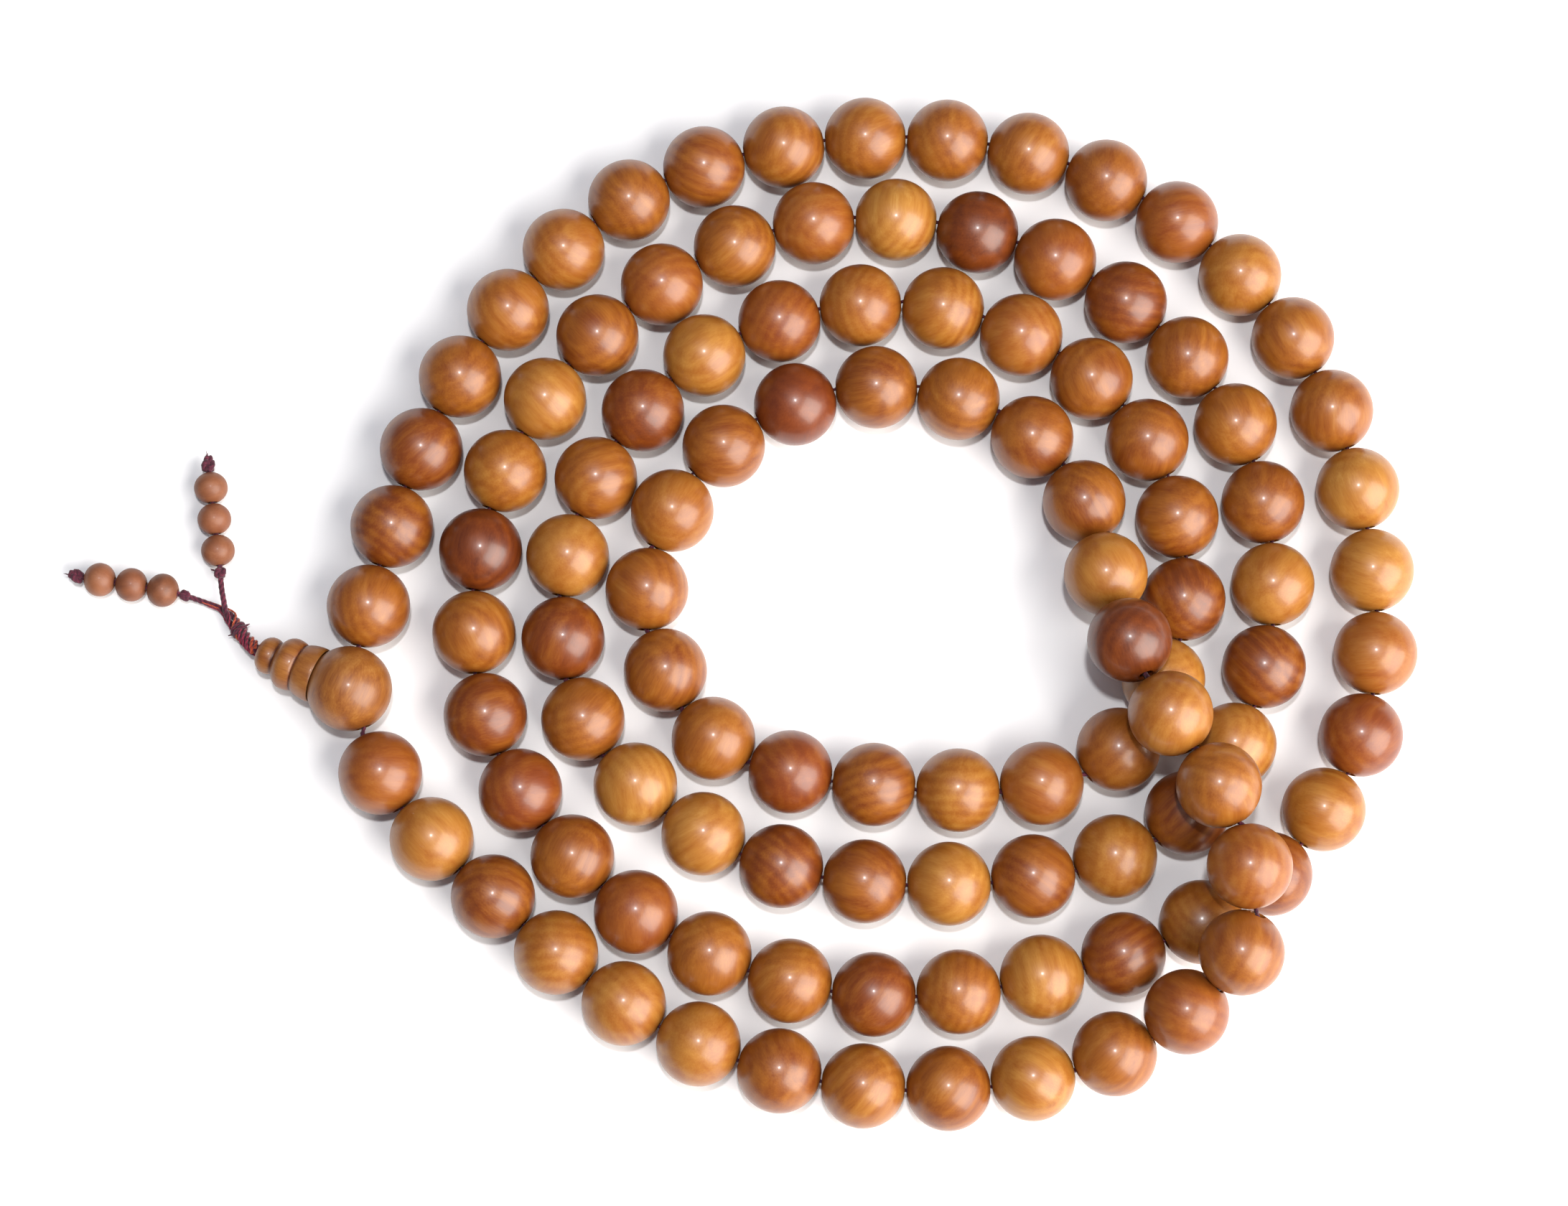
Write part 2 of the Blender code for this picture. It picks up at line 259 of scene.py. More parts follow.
def yarn_finish(name, shadow, body, lit):
    """Dyed yarn with painted shade between the plies and a painted highlight on their crowns, streaked along
    them with fine loose fibres.
    """
    material, tree, shader = new_finish(name, 0.82)
    ply = tree.node("ShaderNodeAttribute", {"attribute_name": "ply"}, {}, "Fac")
    place = tree.node("ShaderNodeTexCoord", {}, {}, "Object")
    fibre = tree.node("ShaderNodeTexNoise", {}, {"Vector": place, "Scale": 5200.0, "Detail": 3.0}, "Fac")
    patch = tree.node("ShaderNodeTexNoise", {}, {"Vector": place, "Scale": 620.0, "Detail": 2.0}, "Fac")
    # Painted light and shade: the ply height darkens the grooves between the plies and lightens their crowns;
    # the fibre and patch noise are the yarn's own streaks.
    level = ply * 0.55 + (fibre - 0.5) * 0.9 + (patch - 0.5) * 0.9 + 0.15
    colour = tree.node("ShaderNodeValToRGB", {"stops": ((0.0, shadow), (0.55, body), (1.0, lit))},
                       {"Fac": level}, "Color")
    bump = tree.node("ShaderNodeBump", {}, {"Height": fibre, "Distance": 0.00008, "Strength": 0.6}, "Normal")
    material.node_tree.links.new(colour.socket, shader.inputs["Base Color"])
    material.node_tree.links.new(bump.socket, shader.inputs["Normal"])
    shader.inputs["Sheen Weight"].default_value = 0.25
    shader.inputs["Specular IOR Level"].default_value = 0.3
    return material


# Each yarn: a painted shade colour, its own dyed colour, and a painted highlight colour.
maroon_yarn = yarn_finish("maroon_yarn", (0.012, 0.002, 0.006), (0.075, 0.010, 0.026), (0.20, 0.03, 0.055))
heading = math.radians(TOWER_HEADING)
droop = math.radians(TOWER_DROOP)
tower_axis = Vector((math.cos(heading) * math.cos(droop), math.sin(heading) * math.cos(droop),
                     -math.sin(droop)))

stem_line = smooth_curve([placed(point) for point in STEM_ROUTE], steps=8)
stem_line.insert(0, stem_line[0] - tower_axis * 1.0)
stem_length = curve_length(stem_line)
pendant_lines = {"left": smooth_curve([placed(point) for point in LEFT_ROUTE]),
                 "up": smooth_curve([placed(point) for point in UP_ROUTE])}
counter_stops = {side: [KNOT_AT[side] + KNOT_TO_COUNTER + COUNTER_PITCH * count
                        for count in range(COUNTER_COUNT)] for side in pendant_lines}
end_knot_at = {side: stops[-1] + KNOT_TO_COUNTER for side, stops in counter_stops.items()}


def stem_point(distance, phase, offset):
    """A point beside the stem's middle line, going round it like one strand of a rope."""
    point, direction = point_along(stem_line, distance)
    sideways = Vector((0.0, 0.0, 1.0)).cross(direction).normalized()
    upright = direction.cross(sideways)
    turn = math.tau * (distance - stem_length) / STEM_LAY + phase
    return point + (sideways * math.cos(turn) + upright * math.sin(turn)) * offset


cord_lines = {}
tassel_cords = {}
for side, phase in (("left", -math.pi / 2), ("up", math.pi / 2)):
    guide = [stem_point(stem_length * step / 12, phase, STEM_OFFSET * min(1.0, 0.5 + step / 4))
             for step in range(12)]
    tail = pendant_lines[side]
    tail_length = end_knot_at[side] + KNOT_HALF_LENGTH
    guide += [point_along(tail, tail_length * (0.03 + 0.97 * step / 20))[0] for step in range(21)]
    cord_lines[side] = evenly(smooth_curve(guide, steps=6), 0.22)
    cord = spin_yarn(f"tassel_cord_{side}", cord_lines[side], CORD_RADIUS, 3, CORD_LAY, sides=12)
    cord.data.materials.append(maroon_yarn)
    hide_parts("stem_cord", f"pendant_cord_{side}")
    tassel_cords[side] = cord

# ---------------------------------------------------------------------------------------------
# Knots of the tassel: each inner knot and end knot is an overhand knot pulled tight in the cord
# itself, so it is a small uneven lump of three crossing turns.
def tie_knot(name, centre, direction, reach, lump, yarn_radius, body):
    """A tight overhand knot: its turns run round a trefoil that is flattened along the cord."""
    turned = direction.to_track_quat("Z", "Y")
    turns = []
    for step in range(61):
        t = math.tau * step / 60
        turns.append(Vector(((math.sin(t) + 2 * math.sin(2 * t)) * reach / 3,
                             (math.cos(t) - 2 * math.cos(2 * t)) * reach / 3, -math.sin(3 * t) * lump)))
    points = [centre + turned @ turn for turn in turns]
    knot = spin_yarn(name, points, yarn_radius, 3, 1.9, sides=9)
    knot.data.materials.append(maroon_yarn)
    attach(knot, body)
    return knot


def fray(name, start, lean, radius, body, seed, strands=3):
    """The cut end of a yarn, opened into a few thin fibres."""
    dice = random.Random(seed)
    for strand in range(strands):
        spread = Vector([dice.uniform(-0.22, 0.22) for _ in range(3)])
        spread.z *= 0.5
        middle = start + lean * 0.55 + spread * 0.4
        tip = start + lean * dice.uniform(0.8, 1.15) + spread
        tip.z = max(tip.z, radius)
        line = smooth_curve([start, middle, tip], steps=5)
        tail = spin_yarn(f"{name}_{strand + 1}", line, radius, 2, 1.2, sides=6, thin_end=0.3)
        tail.data.materials.append(maroon_yarn)
        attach(tail, body)


INNER_KNOT_REACH = {"left": 0.5, "up": 0.62}
FRAY_LOOK = {"left": 5, "up": 8}
LOBE_SHIFT = Vector((0.1, 0.1, 0.1))
knots = {"left": [], "up": []}
for side, line in pendant_lines.items():
    body = f"pendant_{side}"
    centre, direction = point_along(line, KNOT_AT[side])
    knots[side].append(tie_knot(f"inner_knot_{side}", centre, direction, INNER_KNOT_REACH[side], 0.42, 0.42,
                                body))
    centre, direction = point_along(line, end_knot_at[side])
    knots[side].append(tie_knot(f"end_knot_{side}", centre, direction, 0.72, 0.5, 0.46, body))
    end, direction = point_along(line, end_knot_at[side] + KNOT_HALF_LENGTH)
    knots[side].append(tie_knot(f"end_lobe_{side}", end + LOBE_SHIFT, direction, 0.42, 0.35, 0.36, body))
    fray(f"end_fray_{side}", end, direction * 1.2, 0.13, body, FRAY_LOOK[side])
inner_up = point_along(pendant_lines["up"], KNOT_AT["up"])[0]
fray("inner_fray_up", inner_up + Vector((-0.4, 0.2, 0.0)), Vector((-1.0, 0.4, -0.2)), 0.2, "pendant_up", 3,
     strands=2)

# ---------------------------------------------------------------------------------------------
# Stem wrap and red strands: half way along the stem a short length of yarn is wound round the
# two cords and knotted, with two frayed tails, and a few thinner red strands lie beneath them.
# Each yarn: a painted shade colour, its own dyed colour, and a painted highlight colour.
crimson_yarn = yarn_finish("crimson_yarn", (0.045, 0.003, 0.010), (0.21, 0.013, 0.040), (0.40, 0.05, 0.08))
orange_yarn = yarn_finish("orange_yarn", (0.12, 0.010, 0.006), (0.42, 0.055, 0.022), (0.68, 0.16, 0.06))
WRAP_AT = 6.1
WRAP_TURNS = 1.7
WRAP_STEPS = 56
WRAP_RADIUS = 1.02
WRAP_LENGTH = 1.15
WRAP_YARN_RADIUS = 0.32
RED_YARN_RADIUS = 0.30
wrap_centre, wrap_direction = point_along(stem_line, WRAP_AT)
wrap_side = Vector((0.0, 0.0, 1.0)).cross(wrap_direction).normalized()
wrap_up = wrap_direction.cross(wrap_side)
wrap_points = []
for step in range(WRAP_STEPS + 1):
    turn = math.tau * WRAP_TURNS * step / WRAP_STEPS
    around = (wrap_side * math.cos(turn) + wrap_up * math.sin(turn)) * WRAP_RADIUS
    wrap_points.append(wrap_centre + around + wrap_direction * (step / WRAP_STEPS - 0.5) * WRAP_LENGTH)
wrap = spin_yarn("stem_wrap", wrap_points, WRAP_YARN_RADIUS, 3, 1.9, sides=9)
wrap.data.materials.append(maroon_yarn)
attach(wrap, "stem")
fray("wrap_fray_low", wrap_centre - wrap_side * 1.0, -wrap_side * 0.8 - wrap_up * 0.4, 0.24, "stem", 11,
     strands=2)
fray("wrap_fray_high", wrap_centre + wrap_side * 1.0, wrap_side * 0.5 + wrap_direction * 0.2, 0.22, "stem",
     12, strands=2)

# Where each strand lies round the stem, how far it runs past the fork, and its yarn
RED_STRANDS = ((-2.3, 0.62, orange_yarn), (-1.2, 0.5, orange_yarn), (0.2, 0.34, crimson_yarn),
               (1.4, 0.32, crimson_yarn), (2.6, 0.30, crimson_yarn))
line = pendant_lines["left"]
for number, (phase, reach, finish) in enumerate(RED_STRANDS):
    guide = [stem_point(stem_length * (0.12 + 0.88 * step / 9), phase, 0.9) for step in range(9)]
    for step in range(6):
        point, direction = point_along(line, KNOT_AT["left"] * reach * (0.1 + 0.9 * step / 5))
        sideways = Vector((0.0, 0.0, 1.0)).cross(direction).normalized()
        lift = Vector((0.0, 0.0, 0.36 * math.sin(phase + 2.6)))
        guide.append(point + sideways * (0.42 * math.cos(phase)) + lift)
    strand = spin_yarn(f"red_strand_{number + 1}", evenly(smooth_curve(guide, steps=5), 0.25),
                       RED_YARN_RADIUS, 2, 1.5, sides=8, thin_end=0.35)
    strand.data.materials.append(finish)
    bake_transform(strand)

# ---------------------------------------------------------------------------------------------
# Counter beads: six small beads of matt, slightly pinkish wood, three on each pendant cord. All
# are copies of one turned shape, a little shorter than it is wide, drilled through.
COUNTER_RADIUS = 2.5
COUNTER_HEIGHT = 2.36
COUNTER_BORE_RADIUS = 0.64


def select_none():
    bpy.ops.object.select_all(action="DESELECT")


def pick(piece, wanted):
    """In edit mode, select only the corners whose place is wanted, and what lies between them."""
    bpy.ops.mesh.select_mode(type="VERT")
    bpy.ops.mesh.select_all(action="DESELECT")
    mesh = bmesh.from_edit_mesh(piece.data)
    for corner in mesh.verts:
        corner.select_set(wanted(corner.co))
    mesh.select_flush(True)
    bmesh.update_edit_mesh(piece.data)


def turn_ball(name, radius, half_height, segments, rings, bore_radius, chamfer):
    """A turned ball with its hole drilled along +Z: poles cut off, rims eased, bore bridged."""
    select_none()
    bpy.ops.mesh.primitive_uv_sphere_add(segments=segments, ring_count=rings, radius=radius)
    ball = bpy.context.active_object
    ball.name = name
    bpy.ops.object.mode_set(mode="EDIT")
    bpy.ops.transform.resize(value=(1.0, 1.0, half_height / radius))
    mouth = half_height * math.cos(2 * math.pi / rings)
    width = radius * math.sin(2 * math.pi / rings)
    pick(ball, lambda place: abs(place.z) > mouth + 0.02 * half_height)
    bpy.ops.mesh.delete(type="VERT")
    for end in (1, -1):
        pick(ball, lambda place: place.z * end > mouth - 0.01 * half_height)
        bpy.ops.mesh.extrude_region_move(TRANSFORM_OT_translate={"value": (0.0, 0.0, -chamfer * end)})
        bpy.ops.transform.resize(value=(bore_radius / width, bore_radius / width, 1.0))
    pick(ball, lambda place: math.hypot(place.x, place.y) < bore_radius * 1.02)
    bpy.ops.mesh.bridge_edge_loops()
    bpy.ops.mesh.select_all(action="SELECT")
    bpy.ops.mesh.normals_make_consistent(inside=False)
    bpy.ops.object.mode_set(mode="OBJECT")
    bpy.ops.object.shade_smooth_by_angle(angle=math.radians(40))
    return ball


def axis_frame(centre, axis):
    """A frame whose +Z runs along the axis and whose +Y is as near to upright as it can be."""
    side = Vector((0.0, 0.0, 1.0)).cross(axis).normalized()
    upright = axis.cross(side)
    return Matrix.Translation(centre) @ Matrix((side, upright, axis)).transposed().to_4x4()


def set_grain(mesh, tones, turn, offset, red, figure=1.0):
    """Give a turned piece its timber: how dark and red it is, how strongly its year rings show,
    and its place in the log it was cut from. On the tower the tones also carry painted shade in the grooves."""
    places = [turn @ (corner.co / MM) + offset for corner in mesh.vertices]
    flat = [number for place in places for number in place]
    mesh.attributes.new("grain", "FLOAT_VECTOR", "POINT").data.foreach_set("vector", flat)
    mesh.attributes.new("tone", "FLOAT", "POINT").data.foreach_set("value", tones)
    mesh.attributes.new("red", "FLOAT", "POINT").data.foreach_set("value", [red] * len(places))
    mesh.attributes.new("figure", "FLOAT", "POINT").data.foreach_set("value", [figure] * len(places))


def copy_turned(master, name, place, tone, turn, offset, red, figure=1.0):
    """A copy of a turned shape with its own mesh, set down in its place."""
    mesh = master.data.copy()
    mesh.name = name
    set_grain(mesh, [tone] * len(mesh.vertices), turn, offset, red, figure)
    mesh.transform(place)
    piece = bpy.data.objects.new(name, mesh)
    bpy.context.collection.objects.link(piece)
    return piece


def any_turn(dice):
    return Quaternion((dice.gauss(0, 1), dice.gauss(0, 1), dice.gauss(0, 1), dice.gauss(0, 1))).normalized()


def wood_finish(name, stops, redder, gloss, ring_depth, streak_depth):
    """Turned wood: year rings round a far-off pith, fibre streaks along it, and short pores."""
    material, tree, shader = new_finish(name, 0.4)
    grain = tree.node("ShaderNodeAttribute", {"attribute_name": "grain"}, {}, "Vector")
    tone = tree.node("ShaderNodeAttribute", {"attribute_name": "tone"}, {}, "Fac")
    red = tree.node("ShaderNodeAttribute", {"attribute_name": "red"}, {}, "Fac")
    figure = tree.node("ShaderNodeAttribute", {"attribute_name": "figure"}, {}, "Fac")
    rings = tree.node("ShaderNodeTexWave", {"wave_type": "RINGS", "rings_direction": "Z"},
                      {"Vector": grain, "Scale": 0.21, "Distortion": 4.5, "Detail": 2.0,
                       "Detail Scale": 0.22}, "Fac")
    along = tree.node("ShaderNodeMapping", {}, {"Vector": grain, "Scale": (4.2, 4.2, 0.24)})
    fibre = tree.node("ShaderNodeTexNoise", {},
                      {"Vector": along, "Scale": 1.0, "Detail": 4.0, "Roughness": 0.6}, "Fac")
    broad = tree.node("ShaderNodeMapping", {}, {"Vector": grain, "Scale": (0.34, 0.34, 0.08)})
    cloud = tree.node("ShaderNodeTexNoise", {},
                      {"Vector": broad, "Scale": 1.0, "Detail": 2.0, "Distortion": 0.8}, "Fac")
    fleck = tree.node("ShaderNodeMapping", {}, {"Vector": grain, "Scale": (8.0, 8.0, 0.9)})
    pore = tree.node("ShaderNodeTexNoise", {}, {"Vector": fleck, "Scale": 1.0, "Detail": 1.0}, "Fac") > 0.7
    level = (tone + (rings - 0.5) * figure * ring_depth + (fibre - 0.5) * streak_depth + (cloud - 0.5) * 0.5
             - pore * 0.07)
    colour = tree.node("ShaderNodeValToRGB", {"stops": stops}, {"Fac": level}, "Color")
    colour = colour.blend((*redder, 1.0), red * 0.5)
    bump = tree.node("ShaderNodeBump", {},
                     {"Height": fibre - pore * 0.6, "Distance": 0.00003, "Strength": 0.3}, "Normal")
    rough = 0.38 + (fibre - 0.5) * 0.2 + (1.0 - gloss) * 0.25
    material.node_tree.links.new(colour.socket, shader.inputs["Base Color"])
    material.node_tree.links.new(rough.socket, shader.inputs["Roughness"])
    material.node_tree.links.new(bump.socket, shader.inputs["Normal"])
    shader.inputs["Coat Weight"].default_value = 0.21 * gloss
    shader.inputs["Coat Roughness"].default_value = 0.16
    return material


counter_wood = wood_finish(
    "counter_wood", ((0.0, (0.06, 0.015, 0.006)), (0.5, (0.205, 0.068, 0.026)), (1.0, (0.35, 0.155, 0.070))),
    (0.19, 0.042, 0.018), 0.35, 0.06, 0.34)
counter_master = turn_ball("counter_master", COUNTER_RADIUS * MM, COUNTER_HEIGHT * MM, 28, 20,
                           COUNTER_BORE_RADIUS * MM, 0.1 * MM)
counters = {"left": [], "up": []}
for side, stops in counter_stops.items():
    for count, stop in enumerate(stops):
        dice = random.Random(200 + count + (10 if side == "up" else 0))
        centre, direction = point_along(pendant_lines[side], stop)
        counter = copy_turned(counter_master, f"turned_counter_{side}_{count + 1}",
                              axis_frame(centre * MM, direction), 0.5 + dice.uniform(-0.12, 0.12),
                              any_turn(dice), Vector((dice.uniform(9, 20), 0.0, 0.0)), dice.uniform(0.0, 0.5))
        counter.data.materials.append(counter_wood)
        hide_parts(f"counter_{side}_{count + 1}")
        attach(counter, f"counter_{side}_{count + 1}")
        counters[side].append(counter)
bpy.data.objects.remove(counter_master, do_unlink=True)

for side, cord in tassel_cords.items():
    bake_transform(cord)
    cord_lines[side][0] * MM
    curve_length(cord_lines[side]) * MM
    [point * MM for point in cord_lines[side]]

# ---------------------------------------------------------------------------------------------
# Main thread: one maroon yarn through every main bead. It bends only between beads, and its
# two ends go through the guru bead and lie side by side in the tower.
BEAD_COUNT = 108
BEAD_PITCH = 12.3
BEAD_MOUTH = 5.768
REST_HEIGHT = 5.7406
FLAT_HALF_LENGTH = 1.2475
GURU_RADIUS = 6.25
GURU_TO_FIRST_BEAD = 12.55
GURU_LIFT = GURU_RADIUS - REST_HEIGHT
THREAD_RADIUS = 0.4
THREAD_END_OFFSET = 0.58
THREAD_END_DEPTH = 1.5
THREAD_CORNER = 0.8
THREAD_TURN = 2.2
THREAD_STEP = 0.65
STRAND_ROUTE = (
    (-76.0, -12.0, GURU_LIFT), (-73.5, 0.0, 0.0), (-60.5, 34.5, 0.0), (-35.5, 61.5, 0.0), (-0.5, 71.0, 0.0),
    (35.0, 65.0, 0.0), (63.0, 41.0, 0.0), (73.5, 12.0, 0.0), (72.0, -19.0, 0.0), (58.5, -39.0, 0.0),
    (25.0, -54.0, 0.0), (0.5, -56.5, 0.0), (-34.0, -44.5, 0.0), (-56.0, -16.0, 0.0), (-57.0, 9.0, 0.0),
    (-39.5, 41.5, 0.0), (-8.0, 58.0, 0.0), (28.0, 52.5, 0.0), (54.5, 27.5, 0.0), (58.0, -9.0, 0.0),
    (45.5, -31.0, 0.0), (11.5, -40.5, 0.0), (-24.5, -33.0, 0.0), (-42.0, -16.0, 0.0), (-44.0, 9.0, 0.0),
    (-24.0, 38.0, 0.0), (11.5, 45.0, 0.0), (41.5, 25.0, 0.0), (46.5, 1.5, 0.0), (37.0, -20.5, 0.0),
    (0.5, -26.0, 0.0), (-23.0, -19.0, 0.0), (-32.5, 3.0, 0.0), (-21.5, 24.0, 0.0), (0.0, 33.0, 0.0),
    (22.5, 27.0, 0.0), (31.0, 18.0, 0.0), (34.0, 7.5, 2.5), (36.5, -3.5, 9.0), (41.5, -14.5, 11.5),
    (48.5, -25.0, 12.0), (53.5, -36.5, 12.0), (53.5, -49.0, 11.0), (45.5, -59.0, 5.0), (35.5, -65.0, 1.0),
    (11.5, -70.0, 0.0), (-25.0, -63.5, 0.0), (-55.0, -42.0, 0.0), (-71.5, -24.0, 0.0),
    (-76.0, -12.0, GURU_LIFT))


def step_along(curve, first_gap, pitch, count):
    """Bead centres along a curve, each one pitch from the last in a straight line."""
    centres = []
    last = curve[0]
    reach = first_gap
    index = 0
    while len(centres) < count:
        start = curve[index]
        end = curve[index + 1]
        if (end - last).length < reach:
            index += 1
            continue
        along = end - start
        offset = start - last
        a = along.length_squared
        b = offset.dot(along)
        c = offset.length_squared - reach ** 2
        fraction = (math.sqrt(max(b * b - a * c, 0.0)) - b) / a
        last = start + along * min(max(fraction, 0.0), 1.0)
        centres.append(last)
        reach = pitch
    return centres


strand_points = [placed(point) + Vector((0.0, 0.0, REST_HEIGHT)) for point in STRAND_ROUTE]
guru = strand_points[0]
strand_line = smooth_curve(strand_points)
for point in strand_line:
    point.z = max(point.z, REST_HEIGHT)
centres = step_along(strand_line, GURU_TO_FIRST_BEAD, BEAD_PITCH, BEAD_COUNT)
neighbours = [guru, *centres, guru]
axes = [(after - before).normalized() for before, after in zip(neighbours, neighbours[2:])]
for centre, axis in zip(centres, axes):
    centre.z = max(centre.z, REST_HEIGHT + FLAT_HALF_LENGTH * abs(axis.z))

to_first = (centres[0] - guru).normalized()
to_last = (centres[-1] - guru).normalized()
beside = Vector((0.0, 0.0, 1.0)).cross(tower_axis).normalized() * THREAD_END_OFFSET
if beside.dot(to_first) < 0:
    beside.negate()
tip = guru + tower_axis * TOWER_LENGTH_FROM_GURU
corner = guru + tower_axis * THREAD_CORNER
thread_end = tip - tower_axis * THREAD_END_DEPTH
thread_points = [thread_end + beside, corner + beside, guru + to_first * THREAD_TURN,
                 guru + to_first * GURU_RADIUS]
for centre, axis in zip(centres, axes):
    thread_points += [centre - axis * BEAD_MOUTH, centre + axis * BEAD_MOUTH]
thread_points += [guru + to_last * GURU_RADIUS, guru + to_last * THREAD_TURN, corner - beside,
                  thread_end - beside]
thread_line = []
for start, end in zip(thread_points, thread_points[1:]):
    steps = max(1, round((end - start).length / THREAD_STEP))
    thread_line += [start.lerp(end, step / steps) for step in range(steps)]
thread_line.append(thread_points[-1])
main_thread = spin_yarn("strung_thread", thread_line, THREAD_RADIUS, 3, 2.3, sides=9)
main_thread.data.materials.append(maroon_yarn)
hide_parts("main_thread")
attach(main_thread, "strand")

# ---------------------------------------------------------------------------------------------
# Main beads: one hundred and eight turned balls of polished wood, all copies of one shape. They
# are cut from different boards, so tone, redness and the run of the grain change at every bead.
DARKEST_BEADS = (36, 44, 86, 92)
DARK_BEADS = (2, 3, 21, 23, 25, 28, 33, 34, 46, 51, 53, 58, 62, 65, 74, 80, 106)
LIGHT_BEADS = (18, 19, 26, 38, 43, 50, 52, 56, 59, 60, 63, 66, 75, 91, 99, 107)
RED_BEADS = (14, 20, 21, 31, 33, 40, 42, 45, 67, 70, 77, 80, 86, 95, 97, 108)
FIGURED_BEADS = (1, 2, 8, 9, 25, 39, 43, 51, 58, 70, 78, 79)
ROUND_RADIUS = 6.12
ROUND_BORE_RADIUS = 1.05
MOUTH_EASING = 0.15
BALL_FACETS = 32
GROUPED_BEADS = 90
GROUP_SIZE = 3
DARKEST_TONE = 0.2
DARK_TONE = 0.34
LIGHT_TONE = 0.7
USUAL_TONE = 0.53
STRONG_FIGURE = 1.35
STRONG_RED = 0.55
bead_wood = wood_finish(
    "bead_wood", ((0.0, (0.050, 0.008, 0.002)), (0.3, (0.155, 0.034, 0.003)), (0.55, (0.270, 0.087, 0.009)),
                  (0.8, (0.380, 0.165, 0.028)), (1.0, (0.490, 0.260, 0.062))),
    (0.22, 0.039, 0.009), 1.0, 0.068, 0.30)
bead_master = turn_ball("bead_master", ROUND_RADIUS * MM, ROUND_RADIUS * MM, BALL_FACETS, BALL_FACETS,
                        ROUND_BORE_RADIUS * MM, MOUTH_EASING * MM)
for number in range(1, BEAD_COUNT + 1):
    dice = random.Random(number)
    tone = USUAL_TONE + dice.uniform(-0.11, 0.11)
    if number in DARKEST_BEADS:
        tone = DARKEST_TONE
    elif number in DARK_BEADS:
        tone = DARK_TONE + dice.uniform(-0.03, 0.03)
    elif number in LIGHT_BEADS:
        tone = LIGHT_TONE + dice.uniform(-0.04, 0.04)
    red = STRONG_RED if number in RED_BEADS else dice.uniform(0.0, 0.25)
    place = axis_frame(centres[number - 1] * MM, axes[number - 1])
    pith = Vector((dice.uniform(7, 24), dice.uniform(-3, 3), dice.uniform(-40, 40)))
    figure = STRONG_FIGURE if number in FIGURED_BEADS else dice.uniform(0.5, 1.3)
    bead = copy_turned(bead_master, f"turned_bead_{number:03d}", place, tone, any_turn(dice), pith, red,
                       figure)
    bead.data.materials.append(bead_wood)
    if number <= GROUPED_BEADS:
        first = (number - 1) // GROUP_SIZE * GROUP_SIZE + 1
        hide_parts(f"beads_{first:03d}_{first + GROUP_SIZE - 1:03d}")
        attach(bead, "strand")
    else:
        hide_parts(f"bead_{number:03d}")
        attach(bead, f"bead_{number:03d}")
bpy.data.objects.remove(bead_master, do_unlink=True)

# ---------------------------------------------------------------------------------------------
# Guru bead: a slightly larger ball of the same wood, drilled from three sides so that the holes
# meet: one for each end of the thread and a wider one for the tower. Its grain lies crosswise.
THREAD_HOLE_RADIUS = 1.2
TOWER_HOLE_RADIUS = 1.5
GURU_DRILLS = ((to_first, THREAD_HOLE_RADIUS), (to_last, THREAD_HOLE_RADIUS), (tower_axis, TOWER_HOLE_RADIUS))
GURU_TONE = 0.52
select_none()
bpy.ops.mesh.primitive_uv_sphere_add(segments=64, ring_count=40, radius=GURU_RADIUS * MM, location=guru * MM)
guru_bead = bpy.context.active_object
guru_bead.name = "turned_guru_bead"
for direction, radius in GURU_DRILLS:
    select_none()
    length = (GURU_RADIUS + 2.0) * MM
    bpy.ops.mesh.primitive_cylinder_add(vertices=32, radius=radius * MM, depth=length,
                                        location=guru * MM + direction * (length / 2 - 0.001),
                                        rotation=direction.to_track_quat("Z", "Y").to_euler())
    drill = bpy.context.active_object
    select_none()
    guru_bead.select_set(True)
    bpy.context.view_layer.objects.active = guru_bead
    hole = guru_bead.modifiers.new("hole", "BOOLEAN")
    hole.operation = "DIFFERENCE"
    hole.object = drill
    bpy.ops.object.modifier_apply(modifier="hole")
    bpy.data.objects.remove(drill, do_unlink=True)
bpy.ops.object.transform_apply(location=True, rotation=True, scale=True)
bpy.ops.object.shade_smooth_by_angle(angle=math.radians(35))
crosswise = Vector((0.0, 0.0, 1.0)).cross(tower_axis).normalized()
guru_turn = axis_frame(Vector((0.0, 0.0, 0.0)), crosswise).to_3x3().inverted()
guru_shift = Vector((11.0, 4.0, 0.0)) - guru_turn @ guru
guru_wood = wood_finish(
    "guru_wood", ((0.0, (0.050, 0.010, 0.003)), (0.3, (0.150, 0.038, 0.005)), (0.55, (0.255, 0.088, 0.013)),
                  (0.8, (0.355, 0.160, 0.034)), (1.0, (0.460, 0.245, 0.070))),
    (0.21, 0.044, 0.012), 0.8, 0.07, 0.5)
set_grain(guru_bead.data, [GURU_TONE] * len(guru_bead.data.vertices), guru_turn, guru_shift, 0.1)
guru_bead.data.materials.append(guru_wood)
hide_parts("guru_bead")
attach(guru_bead, "strand")

# ---------------------------------------------------------------------------------------------
# Tower: three tiers turned in one piece on a dished foot that follows the guru bead's curve.
# Painted shade darkens the wood in the grooves between the tiers, and a bore along it takes the thread ends.
TOWER_BORE_RADIUS = 1.35
TOWER_DISH_TOP = 6.35
